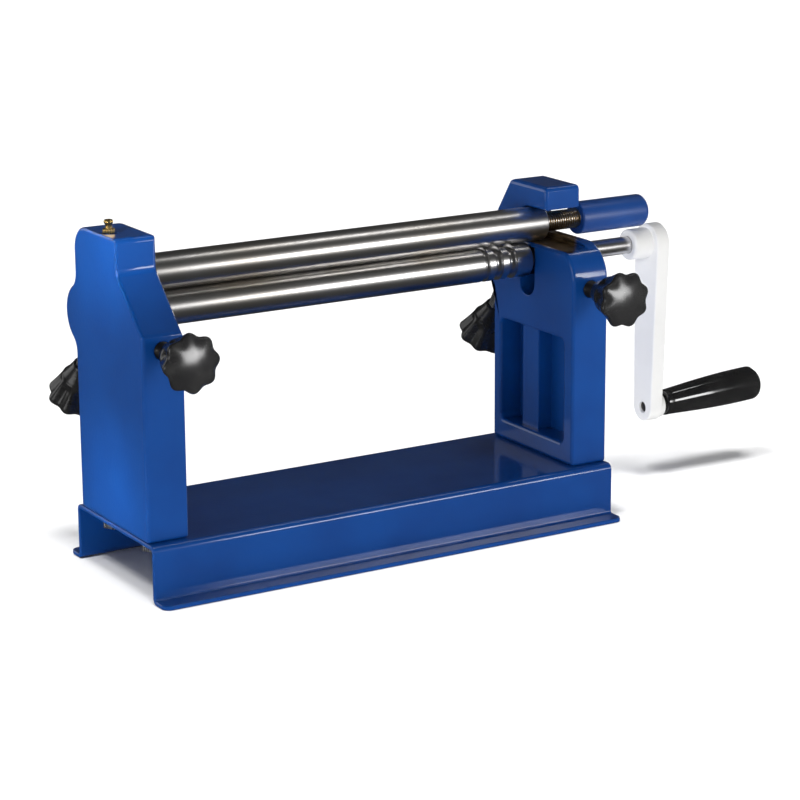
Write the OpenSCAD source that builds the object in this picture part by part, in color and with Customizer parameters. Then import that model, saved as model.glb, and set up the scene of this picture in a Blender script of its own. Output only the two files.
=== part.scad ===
// Hand-cranked bench plate roll: three rolls between two cast side frames on a bent sheet base.
// X runs along the rolls towards the crank, Y to the back and Z up.
// The origin is at the middle of the base, on the bench.

/* [Base] */
// Height of the base's top plate above the bench
base_h = 40; // [36:1:60]
// Thickness of the base's sheet
sheet_t = 3; // [2.5:0.5:6]
// Inner radius of the sheet's bends
bend_r = 1.5; // [1:0.5:7]
// Distance from a frame's front or back face to the base's side wall
wall_out = 8; // [4:0.5:20]
// Width of the feet beyond the side walls
foot_w = 15; // [10:1:30]
// Corner radius of the feet
foot_corner_r = 6; // [2:0.5:9]

/* [Frames] */
// Inside distance between the frames
inside_w = 310; // [200:5:400]
// Thickness of each frame
frame_t = 30; // [28:1:36]
// Depth of the frames, front to back
frame_depth = 103; // [100:1:108]
// Height of the frames above the base
frame_h = 199; // [194:1:215]
// Set-back of the frames' upper back face
back_step = 2; // [0:0.5:4]
// Distance from the front face to the front of the frames' heads
head_set_back = 36; // [30:1:38]
// Height of the left frame's front edge, where its slope starts
slope_start_h = 140; // [132:1:150]
// Height where the left frame's slope meets its head
slope_end_h = 176; // [165:1:185]
// Radius of the left head's back corner
crown_r = 17; // [8:1:25]
// Height of the right frame's front lug
lug_h = 160.4; // [160:0.1:161]
// Radius of the lug's front
lug_r = 25; // [10:1:30]
// Thickness of the lug's outer wall, under the upper roll's stub
lug_wall = 10; // [8.2:0.2:12]
// Height where the right horn's back slope starts
horn_slope_h = 172; // [168:1:180]
// Length of the right horn's flat top, front to back
horn_top = 46; // [35:1:50]
// Rise of the notch's ceiling towards the horn's front
horn_flare = 0.5; // [0:0.5:6]

/* [Frame pockets] */
// Margin in front of the pocket in a frame's inner face
pocket_front = 12; // [8:1:16]
// Margin behind the pocket
pocket_back = 9; // [7:1:12]
// Height of the pocket's lower edge above the base
pocket_low = 15; // [14:1:24]
// Height of the pocket's upper edge above the base
pocket_high = 92.5; // [80:0.5:95]
// Corner radius of the pocket
pocket_r = 5; // [2:0.5:8]
// Depth of the pocket
pocket_deep = 18; // [10:1:20]
// Distance from the pocket's front edge to its upright rib
rib_from = 41; // [30:1:42]
// Width of the upright rib
rib_w = 21; // [18:1:30]
// Depth of the rib's face below the frame's face
rib_drop = 6.5; // [3:0.5:9]

/* [Rolls] */
// Diameter of the three rolls
roll_d = 25; // [22:0.5:26]
// Gap between the closed rolls
roll_gap = 0.5; // [0.4:0.1:1]
// Distance from the frames' front face to the pinching rolls' axes
roll_set_back = 59.5; // [58:0.5:61]
// Height of the lower roll's axis above the base
lower_axis_h = 143.5; // [142:0.5:145]
// Diameter of the lower roll's journals and shaft
journal_d = 13; // [10:0.5:14]
// Gap between the lower and rear rolls and the left frame
roll_left_gap = 2; // [1:0.5:4]
// Bare journal between the lower and rear rolls and the right frame
roll_right_gap = 2.5; // [1:0.5:14]
// Diameter of the narrow wire groove
groove_narrow_d = 4; // [3:0.5:6]
// Diameter of the middle wire groove
groove_middle_d = 6.5; // [4:0.5:7]
// Diameter of the wide wire groove
groove_wide_d = 7; // [5:0.5:9]
// Land between the wire grooves
groove_land = 5; // [2:0.5:8]
// Land between the wide groove and the roll's end
groove_end_land = 13.5; // [1:0.5:20]

/* [Lower roll adjustment] */
// Width of the upright slot in each frame
slot_w = 19; // [18:0.2:20]
// Depth of the slots, from the frames' inner faces
slot_deep = 22; // [18:1:23]
// Distance from the lower roll's axis down to the slot's round end
slot_below = 27; // [26:0.5:32]
// Height of a bearing block above the roll's axis
block_above = 9; // [8.6:0.1:9.4]
// Height of a bearing block below the roll's axis
block_below = 11.5; // [10:0.5:12]
// Outer diameter of the blocks' bushes
bush_d = 16.6; // [15:0.2:17]
// Distance that the lower roll can be let down
lift_travel = 6; // [3:0.5:6]
// Distance from the lower roll's axis down to the wedge pins' axes
pin_drop = 13.5; // [12:0.5:14]
// Diameter of the wedge pins
pin_d = 10; // [8:0.2:11]
// Reach of the block's bevel along its bottom
bevel_reach = 7; // [5:0.5:8]
// Length of the wedge pins' guide bores
guide_len = 20.5; // [16:0.5:26]

/* [Rear roll adjustment] */
// Distance from the frames' front face to the rear boss's centre
boss_set_back = 96.4; // [94:0.2:98]
// Height of the rear boss's centre above the base
boss_h = 137; // [135:0.5:139]
// Radius of the rear boss
boss_r = 21.3; // [19:0.1:24]
// Radius of the fillets beside the boss
boss_fillet = 12; // [8:0.5:16]
// Angle of the rear screws below the horizontal
incline = 58; // [56:0.5:60]
// Whole travel of the rear roll along its slot
rear_travel = 22; // [16:1:22]
// Rear roll's rise above the foot of its slot at rest
rear_rest = 11; // [10:0.5:12]
// Width of the square rear bearing blocks
rear_block_w = 19; // [18:0.2:20]
// Diameter of the rear roll's journals
rear_journal_d = 12; // [8:0.5:12.5]
// Outer diameter of the rear blocks' bushes
rear_bush_d = 15.6; // [14:0.2:16.4]

/* [Upper roll release] */
// Distance from the left frame's outer face to the swivel ball's centre
ball_in = 14; // [13:0.5:15]
// Diameter of the swivel ball
ball_d = 24; // [22:0.5:24]
// Width of the swivel ball between its flat faces
ball_w = 14; // [12:0.5:14]
// Wall left at the bottom of the ball's socket
socket_wall = 4; // [2:0.5:4]
// Thickness of the ring that keeps the ball in its socket
ring_t = 1.4; // [1:0.2:2]
// Depth of the ring's groove in the socket
ring_seat = 0.9; // [0.5:0.1:1.2]
// Diameter of the upper roll's journal in the ball
upper_journal_d = 12; // [8:0.5:12]
// Diameter of the upper roll's collar beside the ball
collar_d = 14; // [13:0.2:14.4]
// Gap between the upper roll and the left frame
upper_left_gap = 4.5; // [4.5:0.5:8]
// Gap between the upper roll's right end and the lug's outer wall
upper_right_gap = 9; // [0.6:0.2:12]
// Diameter of the threaded stub at the upper roll's right end
stub_d = 14.5; // [10:0.5:15]
// Length of the stub inside the handle
stub_grip = 26; // [15:1:40]
// Diameter of the release handle
handle_d = 24; // [18:0.5:25]
// Length of the release handle
handle_len = 60; // [45:1:62]
// Gap between the right frame and the release handle
handle_gap = 12; // [10:0.5:13]
// Edge radius of the release handle
handle_edge_r = 4; // [1:0.5:8]

/* [Crank] */
// Distance from the shaft to the grip's axis
crank_len = 127; // [90:1:140]
// Gap between the right frame and the crank's hub
hub_gap = 59.5; // [56:0.5:65]
// Diameter of the crank's hub
hub_d = 23; // [20:0.5:23.5]
// Length of the hub in front of the arm
hub_len = 16.5; // [14.5:0.5:25]
// Thickness of the crank's arm
arm_t = 11; // [8:0.5:16]
// Diameter of the arm's upper end
arm_top_d = 29; // [27:0.5:34]
// Forward shift of the arm's upper end
arm_shift = 1.5; // [0.5:0.5:1.5]
// Diameter of the arm's lower end
arm_end_d = 22; // [18:0.5:26]
// Diameter of the grip boss on the arm
grip_boss_d = 20; // [16:0.5:21]
// Height of the grip boss on the arm
grip_boss = 5; // [2:0.5:8]
// Depth of the spindle's end below the arm's face
spindle_recess = 2; // [1:0.5:4]
// Diameter of the grip's spindle
spindle_d = 8; // [6:0.5:9]
// Diameter of the spindle's collar and end disc
spindle_collar_d = 12; // [10:0.5:13]
// Thickness of the spindle's collar
spindle_collar_t = 2.7; // [1.5:0.1:4]
// Upward tilt of the grip's axis, in degrees
grip_tilt = 2.8; // [0:0.1:5]
// Length of the turning grip
grip_len = 88; // [70:1:110]
// Diameter of the grip beside the arm
grip_in_d = 19.5; // [17:0.5:22]
// Diameter of the grip near its outer end
grip_out_d = 26; // [20:0.5:28]
// Edge radius of the grip's outer end
grip_edge_r = 5; // [2:0.5:8]
// Length of the grub screw in the hub
grub_len = 5; // [3:0.2:5.2]
// Diameter of the grub screw in the hub
grub_d = 6; // [4:0.5:8]

/* [Star knobs] */
// Diameter of the star knobs
knob_d = 41; // [36:0.5:44]
// Number of lobes
knob_lobes = 8; // [6:1:10]
// Diameter of the hollows between the lobes
knob_hollow_d = 12; // [8:0.5:14]
// Depth of the hollows between the lobes
knob_hollow = 2.4; // [1.8:0.2:4]
// Length of the tapered, lobed head
knob_head_t = 20.5; // [10:0.5:24]
// Height of the head's dome
knob_dome = 5; // [1:0.5:7]
// Length of the tapered neck
knob_neck_len = 12.5; // [10:0.5:30]
// Diameter of the neck beside the head
knob_neck_d = 26; // [20:0.5:30]
// Diameter of the head's back
knob_back_d = 28; // [24:0.5:36]
// Diameter of the neck's tip
knob_tip_d = 16; // [14:0.5:16]
// Gap between the frames and the front knobs
front_knob_gap = 10; // [6:0.5:16]
// Distance from the boss's centre to the rear knobs at rest
rear_knob_from = 49.5; // [40:0.5:52]
// Turn of the front left knob's lobes at rest
left_knob_turn = 4; // [0:1:44]
// Turn of the front right knob's lobes at rest
right_knob_turn = 16; // [0:1:44]
// Diameter of the knobs' screws
screw_d = 12; // [11.2:0.2:12.6]
// Length of the screws inside the knobs
screw_grip = 22; // [12:1:28]

/* [Fasteners] */
// Distance between a frame's two bolts
bolt_spacing = 60; // [40:1:70]
// Diameter of the frame bolts
bolt_d = 10; // [8:0.5:12]
// Length of the frame bolts' shanks
bolt_len = 16; // [13:0.5:18]
// Width of the bolts' heads across the flats
bolt_head_af = 16; // [14:0.5:18]
// Height of the bolts' heads
bolt_head_h = 6.4; // [5:0.2:9]
// Diameter of the washers
washer_d = 20; // [18:0.5:24]
// Thickness of the washers
washer_t = 2; // [1:0.2:3]
// Distance from the left frame's outer face to the grease nipple
nipple_in = 7; // [6:0.5:9]
// Thread diameter of the grease nipple
nipple_d = 6; // [5:0.5:8]
// Length of the grease nipple's thread
nipple_thread = 7; // [4:0.5:9]
// Width of the nipple's hexagon across the flats
nipple_af = 8; // [7:0.5:10]
// Height of the nipple's hexagon
nipple_hex_h = 3; // [2:0.5:5]
// Height of the nipple's neck and head
nipple_head_h = 7; // [5:0.5:9]
// Diameter of the nipple's head
nipple_head_d = 6.4; // [5:0.2:7]
// Diameter of the oil way under the nipple
oil_way_d = 2.4; // [1:0.2:4]

/* [Fits] */
// Radial clearance of turning shafts, pins and screws
run_fit = 0.05; // [0.02:0.01:0.1]
// Radial clearance of parts fixed in their holes
fixed_fit = 0.02; // [0.01:0.01:0.05]
// Clearance of the sliding blocks in their slots
block_gap = 0.1; // [0.05:0.05:0.3]
// Clearance around the upper roll in its notch
seat_gap = 0.3; // [0.2:0.05:0.5]
// Clearance between bearing faces that push each other
push_gap = 0.05; // [0.02:0.01:0.1]

/* [Hidden] */
$fn = 96;
cut = 1;

// Frames and base
x_in = inside_w / 2;
x_out = x_in + frame_t;
x_mid = x_in + frame_t / 2;
y_front = -frame_depth / 2;
y_back = frame_depth / 2;
y_back_top = y_back - back_step;
y_head = y_front + head_set_back;
top_z = base_h + frame_h;
slope_start_z = base_h + slope_start_h;
slope_end_z = base_h + slope_end_h;
lug_z = base_h + lug_h;
horn_slope_z = base_h + horn_slope_h;
horn_end_y = y_head + horn_top;
wall_y = y_back + wall_out;
foot_y = wall_y + foot_w;
bend_out_r = bend_r + sheet_t;

// Rolls
roll_y = y_front + roll_set_back;
roll_r = roll_d / 2;
lower_z = base_h + lower_axis_h;
upper_z = lower_z + roll_d + roll_gap;
journal_r = journal_d / 2;
roll_left_x = -x_in + roll_left_gap;
roll_right_x = x_in - roll_right_gap;
groove_wide_x = roll_right_x - groove_end_land - groove_wide_d / 2;
groove_middle_x = groove_wide_x - groove_wide_d / 2 - groove_land - groove_middle_d / 2;
groove_narrow_x = groove_middle_x - groove_middle_d / 2 - groove_land - groove_narrow_d / 2;

// Lower roll's slots, blocks and wedge pins
slot_y = roll_y - slot_w / 2;
slot_top_z = lower_z + block_above + seat_gap;
slot_round_z = lower_z - slot_below + slot_w / 2;
block_x = x_in + seat_gap;
block_end_x = x_in + slot_deep - block_gap;
block_w = slot_w - 2 * block_gap;
pin_z = lower_z - pin_drop;
pin_y = slot_y - guide_len;
bevel_sum = slot_y + bevel_reach + lower_z - block_below;

// Rear boss and its inclined slot
boss_y = y_front + boss_set_back;
boss_z = base_h + boss_h;
rear_bore_len = boss_r + boss_fillet + (y_back - boss_y) / cos(incline);
rear_journal_r = rear_journal_d / 2;
rear_slot_w = rear_block_w + 2 * block_gap;
rear_y = boss_y - rear_rest * cos(incline);
rear_z = boss_z + rear_rest * sin(incline);

// Swivel ball, its socket and the upper roll
ball_x = -x_out + ball_in;
socket_r = ball_d / 2 + run_fit;
socket_x = -x_out + socket_wall;
ring_groove_r = socket_r + ring_seat;
ring_x = ball_x + ball_w / 2 - ring_t / 2;
ring_r = sqrt(pow(ball_d / 2, 2) - pow(ring_x - ball_x, 2)) + run_fit;
upper_left_x = -x_in + upper_left_gap;
upper_right_x = x_out - lug_wall - upper_right_gap;
handle_x = x_out + handle_gap;

// Crank
hub_x = x_out + hub_gap;
arm_x = hub_x + hub_len;
arm_end_x = arm_x + arm_t;
grip_z = lower_z - crank_len;
strip_in = 0.07;
boss_end_x = arm_end_x + grip_boss;
grip_x = boss_end_x + spindle_collar_t + run_fit;
spindle_end_x = grip_x + grip_len - grip_out_d / 2;

// Helpers

// Cylinder along X from x0 to x1, on an axis at y and z
module bar_x(r, x0, x1, y, z) {
    translate([x0, y, z])
        rotate([0, 90, 0])
            cylinder(r = r, h = x1 - x0);
}

// Cylinder along Y from y0 to y1, on an axis at x and z
module bar_y(r, y0, y1, x, z) {
    translate([x, y0, z])
        rotate([-90, 0, 0])
            cylinder(r = r, h = y1 - y0);
}

// Carries a side outline, drawn in Y and Z, along X from x0 to x1
module side_plate(x0, x1) {
    translate([x0, 0, 0])
        rotate([90, 0, 90])
            linear_extrude(x1 - x0)
                children();
}

// Moves a piece s up the incline from the boss's centre, with its own Z along the incline
module up_incline(s) {
    translate([0, boss_y, boss_z])
        rotate([90 - incline, 0, 0])
            translate([0, 0, s])
                children();
}

// Puts a piece that is drawn for the right-hand side on the left when side is -1
module on_side(side) {
    mirror([side < 0 ? 1 : 0, 0, 0])
        children();
}

// Rectangle with rounded corners between two corner points
module round_rect(low, high, r) {
    translate([low[0] + r, low[1]])
        square([high[0] - low[0] - 2 * r, high[1] - low[1]]);
    translate([low[0], low[1] + r])
        square([high[0] - low[0], high[1] - low[1] - 2 * r]);
    for (x = [low[0] + r, high[0] - r], y = [low[1] + r, high[1] - r])
        translate([x, y])
            circle(r);
}

// Places a piece at each of the four frame bolts
module at_bolts() {
    for (x = [-x_mid, x_mid], y = [-bolt_spacing / 2, bolt_spacing / 2])
        translate([x, y, 0])
            children();
}

// Base

// Half of the base's bent section, from its middle to the edge of its foot
module half_hat() {
    translate([0, base_h - sheet_t])
        square([wall_y - bend_out_r, sheet_t]);
    translate([wall_y - bend_out_r, base_h - bend_out_r])
        intersection() {
            difference() {
                circle(bend_out_r);
                circle(bend_r);
            }
            square(bend_out_r);
        }
    translate([wall_y - sheet_t, bend_out_r])
        square([sheet_t, base_h - 2 * bend_out_r]);
    translate([wall_y + bend_r, bend_out_r])
        intersection() {
            difference() {
                circle(bend_out_r);
                circle(bend_r);
            }
            translate([-bend_out_r, -bend_out_r])
                square(bend_out_r);
        }
    translate([wall_y + bend_r, 0])
        square([foot_w - bend_r, sheet_t]);
}

module base_channel() {
    color("royalblue")
        difference() {
            intersection() {
                side_plate(-x_out, x_out) {
                    half_hat();
                    mirror([1, 0])
                        half_hat();
                }
                linear_extrude(base_h)
                    round_rect([-x_out, -foot_y], [x_out, foot_y], foot_corner_r);
            }
            at_bolts()
                translate([0, 0, base_h - sheet_t - cut])
                    cylinder(r = bolt_d / 2 + seat_gap, h = sheet_t + 2 * cut);
        }
}

module frame_bolts() {
    color("dimgray")
        at_bolts()
            translate([0, 0, base_h - sheet_t - washer_t]) {
                cylinder(r = bolt_d / 2, h = bolt_len);
                translate([0, 0, -bolt_head_h])
                    cylinder(d = bolt_head_af / cos(30), h = bolt_head_h, $fn = 6);
            }
}

module frame_washers() {
    color("silver")
        at_bolts()
            translate([0, 0, base_h - sheet_t - washer_t])
                difference() {
                    cylinder(r = washer_d / 2, h = washer_t);
                    translate([0, 0, -cut])
                        cylinder(r = bolt_d / 2 + seat_gap, h = washer_t + 2 * cut);
                }
}

// Frames

// Fillet between the boss and the back face at face_y, above the boss or below it
module boss_corner(face_y, way) {
    fillet_y = face_y + boss_fillet;
    reach = boss_r + boss_fillet;
    fillet_z = boss_z + way * sqrt(reach * reach - pow(fillet_y - boss_y, 2));
    difference() {
        polygon([[boss_y, boss_z], [fillet_y, fillet_z], [face_y, fillet_z], [face_y - cut, boss_z]]);
        translate([fillet_y, fillet_z])
            circle(boss_fillet);
    }
}

// Round boss at a frame's back, with its fillets, from x0 to x1
module boss_body(x0, x1) {
    bar_x(boss_r, x0, x1, boss_y, boss_z);
    side_plate(x0, x1)
        boss_corner(y_back_top, 1);
    side_plate(x0, x1)
        boss_corner(y_back, -1);
}

// Left frame before it is cut: upright front, slope, head and rounded back corner
module left_body() {
    crown_y = y_back_top - crown_r;
    crown_z = top_z - crown_r;
    side_plate(-x_out, -x_in)
        polygon([
            [y_front, base_h], [y_front, slope_start_z], [y_head, slope_end_z], [y_head, top_z],
            [crown_y, top_z], [y_back_top, crown_z], [y_back_top, boss_z], [y_back, boss_z],
            [y_back, base_h]
        ]);
    bar_x(crown_r, -x_out, -x_in, crown_y, crown_z);
    boss_body(-x_out, -x_in);
}

// Right frame before it is cut: rounded front lug and the horn over the upper roll
module right_body() {
    side_plate(x_in, x_out)
        polygon([
            [y_front, base_h], [y_front, lug_z - lug_r], [y_front + lug_r, lug_z], [y_head, lug_z],
            [y_head, top_z], [horn_end_y, top_z], [y_back_top, horn_slope_z], [y_back_top, boss_z],
            [y_back, boss_z], [y_back, base_h]
        ]);
    bar_x(lug_r, x_in, x_out, y_front + lug_r, lug_z - lug_r);
    boss_body(x_in, x_out);
}

// Pocket in the inner face of the right frame, with its sunk upright rib
module pocket_cut() {
    low = [y_front + pocket_front, base_h + pocket_low];
    high = [y_back - pocket_back, base_h + pocket_high];
    side_plate(x_in - cut, x_in + rib_drop)
        round_rect(low, high, pocket_r);
    difference() {
        side_plate(x_in - cut, x_in + pocket_deep)
            round_rect(low, high, pocket_r);
        translate([x_in - 2 * cut, low[0] + rib_from, low[1] - cut])
            cube([pocket_deep + 4 * cut, rib_w, high[1] - low[1] + 2 * cut]);
    }
}

// Upright slot for the lower roll's block, round at its foot
module slot_cut() {
    side_plate(x_in - cut, x_in + slot_deep) {
        translate([slot_y, slot_round_z])
            square([slot_w, slot_top_z - slot_round_z]);
        translate([roll_y, slot_round_z])
            circle(slot_w / 2);
    }
}

// Threaded bore and guide bore for a front screw and its wedge pin
module front_bore_cut() {
    bar_y(screw_d / 2 + run_fit, y_front - cut, pin_y, x_mid, pin_z);
    bar_y(pin_d / 2 + run_fit, pin_y - cut, slot_y + cut, x_mid, pin_z);
}

// Inclined slot for the rear roll's block, and the threaded bore through the boss
module rear_slot_cut() {
    up_incline(0) {
        translate([x_in - cut, -rear_slot_w / 2, -rear_slot_w / 2])
            cube([slot_deep + cut, rear_slot_w, rear_travel + rear_slot_w]);
        translate([x_mid, 0, -rear_bore_len])
            cylinder(r = screw_d / 2 + run_fit, h = rear_bore_len);
    }
}

module bolt_hole_cuts() {
    at_bolts()
        translate([0, 0, base_h - cut])
            cylinder(r = bolt_d / 2 + fixed_fit, h = bolt_len - sheet_t - washer_t + 2 * cut);
}

// What both frames have cut out of them, drawn for the right one
module frame_cuts() {
    pocket_cut();
    slot_cut();
    front_bore_cut();
    rear_slot_cut();
    bolt_hole_cuts();
}

// Blind socket of the swivel ball, its ring groove, and the nipple's hole and oil way
module ball_socket_cut() {
    bar_x(socket_r, socket_x, -x_in + cut, roll_y, upper_z);
    bar_x(ring_groove_r, ring_x - push_gap, ring_x + ring_t + push_gap, roll_y, upper_z);
    translate([-x_out + nipple_in, roll_y, 0]) {
        translate([0, 0, top_z - nipple_thread - cut])
            cylinder(r = nipple_d / 2 + fixed_fit, h = nipple_thread + 2 * cut);
        translate([0, 0, upper_z])
            cylinder(r = oil_way_d / 2, h = top_z - upper_z);
    }
}

module left_frame() {
    color("royalblue")
        difference() {
            left_body();
            on_side(-1)
                frame_cuts();
            ball_socket_cut();
        }
}

// Notch that is open to the front, for the upper roll's right end, above floor_z
module notch_outline(floor_z) {
    notch_r = roll_r + seat_gap;
    intersection() {
        union() {
            translate([roll_y, upper_z])
                circle(notch_r);
            polygon([
                [roll_y, upper_z - notch_r], [roll_y, upper_z + notch_r],
                [y_head - cut, upper_z + notch_r + horn_flare], [y_front - cut, top_z],
                [y_front - cut, upper_z - notch_r]
            ]);
        }
        translate([y_front - cut, floor_z])
            square([frame_depth, top_z]);
    }
}

// Upright hole for the shaft in the right frame's outer wall
module shaft_hole_cut() {
    hole_r = journal_r + 2 * seat_gap;
    for (z = [lower_z - lift_travel, lower_z])
        bar_x(hole_r, x_in + slot_deep - cut, x_out + cut, roll_y, z);
    translate([x_in + slot_deep - cut, roll_y - hole_r, lower_z - lift_travel])
        cube([frame_t - slot_deep + 2 * cut, 2 * hole_r, lift_travel]);
}

module right_frame() {
    color("royalblue")
        difference() {
            right_body();
            frame_cuts();
            side_plate(x_in - cut, x_out - lug_wall)
                notch_outline(upper_z - roll_r - seat_gap);
            side_plate(x_out - lug_wall - cut, x_out + cut)
                notch_outline(lug_z);
            shaft_hole_cut();
        }
}

module grease_nipple() {
    neck_r = nipple_head_d / 2 - 1;
    color("goldenrod")
        translate([-x_out + nipple_in, roll_y, top_z]) {
            translate([0, 0, -nipple_thread])
                cylinder(r = nipple_d / 2, h = nipple_thread);
            cylinder(d = nipple_af / cos(30), h = nipple_hex_h, $fn = 6);
            translate([0, 0, nipple_hex_h])
                cylinder(r = neck_r, h = nipple_head_h - nipple_head_d / 2);
            translate([0, 0, nipple_hex_h + nipple_head_h - nipple_head_d / 2])
                difference() {
                    sphere(nipple_head_d / 2);
                    translate([-nipple_head_d, -nipple_head_d, nipple_head_d / 2 - 1])
                        cube(2 * nipple_head_d);
                }
        }
}

// Upper roll

module socket_ring() {
    color("dimgray")
        difference() {
            bar_x(ring_groove_r - push_gap, ring_x, ring_x + ring_t, roll_y, upper_z);
            bar_x(ring_r, ring_x - cut, ring_x + ring_t + cut, roll_y, upper_z);
        }
}

module ball_bush() {
    color("peru")
        translate([ball_x, roll_y, upper_z])
            rotate([0, 90, 0])
                rotate_extrude()
                    intersection() {
                        circle(ball_d / 2);
                        translate([upper_journal_d / 2 + run_fit, -ball_w / 2])
                            square([ball_d, ball_w]);
                    }
}

module upper_roll() {
    collar_x = ball_x + ball_w / 2 + push_gap;
    color("silver") {
        bar_x(upper_journal_d / 2, ball_x - ball_w / 2, collar_x + cut, roll_y, upper_z);
        bar_x(collar_d / 2, collar_x, upper_left_x + cut, roll_y, upper_z);
        bar_x(roll_r, upper_left_x, upper_right_x, roll_y, upper_z);
        bar_x(stub_d / 2, upper_right_x - cut, handle_x + stub_grip, roll_y, upper_z);
    }
}

module release_handle() {
    handle_r = handle_d / 2;
    color("royalblue")
        difference() {
            translate([handle_x, roll_y, upper_z])
                rotate([0, 90, 0])
                    rotate_extrude() {
                        square([handle_r - handle_edge_r, handle_len]);
                        square([handle_r, handle_len - handle_edge_r]);
                        translate([handle_r - handle_edge_r, handle_len - handle_edge_r])
                            circle(handle_edge_r);
                    }
            bar_x(stub_d / 2 + fixed_fit, handle_x - cut, handle_x + stub_grip + cut, roll_y, upper_z);
        }
}

// Lower roll

// Wire grooves near the right end of a roll on an axis at y and z
module groove_cuts(y, z) {
    for (g = [[groove_narrow_x, groove_narrow_d], [groove_middle_x, groove_middle_d],
              [groove_wide_x, groove_wide_d]])
        translate([g[0], y, z])
            rotate([0, 90, 0])
                rotate_extrude()
                    translate([roll_r, 0])
                        circle(g[1] / 2);
}

// Bearing block in its upright slot, with the bevel that rides on the wedge pin
module lower_block(side) {
    low_z = lower_z - block_below;
    high_z = lower_z + block_above;
    low_y = roll_y - block_w / 2;
    high_y = roll_y + block_w / 2;
    color("dimgray")
        on_side(side)
            difference() {
                side_plate(block_x, block_end_x)
                    polygon([
                        [bevel_sum - low_z, low_z], [high_y, low_z], [high_y, high_z],
                        [low_y, high_z], [low_y, bevel_sum - low_y]
                    ]);
                bar_x(bush_d / 2 + fixed_fit, block_x - cut, block_end_x + cut, roll_y, lower_z);
            }
}

module lower_bush(side) {
    color("peru")
        on_side(side)
            difference() {
                bar_x(bush_d / 2, block_x, block_end_x, roll_y, lower_z);
                bar_x(journal_r + run_fit, block_x - cut, block_end_x + cut, roll_y, lower_z);
            }
}

module lower_roll() {
    color("silver") {
        difference() {
            bar_x(roll_r, roll_left_x, roll_right_x, roll_y, lower_z);
            groove_cuts(roll_y, lower_z);
        }
        bar_x(journal_r, -block_end_x, roll_left_x + cut, roll_y, lower_z);
        bar_x(journal_r, roll_right_x - cut, arm_end_x, roll_y, lower_z);
    }
}

// Crank

// Tilts what lies on the grip's axis up about the arm's outer face
module on_grip_axis() {
    translate([arm_end_x, roll_y, grip_z])
        rotate([0, -grip_tilt, 0])
            translate([-arm_end_x, -roll_y, -grip_z])
                children();
}

// Four corners of the strip that touches two circles from outside
function link_strip(c0, r0, c1, r1) =
    let (d = c1 - c0, way = atan2(d[1], d[0]), open = acos((r0 - r1) / norm(d)))
    [
        c0 + r0 * [cos(way + open), sin(way + open)], c1 + r1 * [cos(way + open), sin(way + open)],
        c1 + r1 * [cos(way - open), sin(way - open)], c0 + r0 * [cos(way - open), sin(way - open)]
    ];

// Arm before it is bored: two round ends, and a strip whose sides run just inside both
module arm_body() {
    top = [roll_y - arm_shift, lower_z];
    end = [roll_y, grip_z];
    bar_x(arm_top_d / 2, arm_x, arm_end_x, top[0], top[1]);
    bar_x(arm_end_d / 2, arm_x, arm_end_x, end[0], end[1]);
    side_plate(arm_x, arm_end_x)
        polygon(link_strip(top, arm_top_d / 2 - strip_in, end, arm_end_d / 2 - strip_in));
}

module crank_arm() {
    color("white")
        difference() {
            union() {
                arm_body();
                bar_x(hub_d / 2, hub_x, arm_x + cut, roll_y, lower_z);
                on_grip_axis()
                    bar_x(grip_boss_d / 2, arm_end_x - cut, boss_end_x, roll_y, grip_z);
            }
            bar_x(journal_r + fixed_fit, hub_x - cut, arm_end_x + cut, roll_y, lower_z);
            on_grip_axis()
                bar_x(spindle_d / 2 + fixed_fit, arm_x - cut, boss_end_x + cut, roll_y, grip_z);
            bar_y(grub_d / 2 + fixed_fit, roll_y, roll_y + hub_d, hub_x + hub_len / 2, lower_z);
        }
}

module crank_grub_screw() {
    grub_y = roll_y + journal_r + push_gap;
    color("dimgray")
        bar_y(grub_d / 2, grub_y, grub_y + grub_len, hub_x + hub_len / 2, lower_z);
}

module grip_spindle() {
    collar_r = spindle_collar_d / 2;
    color("silver")
        on_grip_axis() {
            bar_x(spindle_d / 2, arm_x + spindle_recess, spindle_end_x, roll_y, grip_z);
            bar_x(collar_r, boss_end_x, boss_end_x + spindle_collar_t, roll_y, grip_z);
            bar_x(collar_r, spindle_end_x - spindle_collar_t, spindle_end_x, roll_y, grip_z);
        }
}

module crank_grip() {
    out_r = grip_out_d / 2;
    edge_x = grip_len - grip_edge_r;
    disc_x = spindle_end_x - spindle_collar_t;
    color("black")
        on_grip_axis()
            difference() {
                translate([grip_x, roll_y, grip_z])
                    rotate([0, 90, 0])
                        rotate_extrude() {
                            polygon([
                                [0, 0], [grip_in_d / 2, 0], [out_r, edge_x], [out_r - grip_edge_r, edge_x],
                                [out_r - grip_edge_r, grip_len], [0, grip_len]
                            ]);
                            translate([out_r - grip_edge_r, edge_x])
                                circle(grip_edge_r);
                        }
                bar_x(spindle_d / 2 + run_fit, grip_x - cut, spindle_end_x, roll_y, grip_z);
                bar_x(spindle_collar_d / 2 + seat_gap, disc_x - run_fit, spindle_end_x + seat_gap, roll_y, grip_z);
            }
}

// Knobs and their screws

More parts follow.
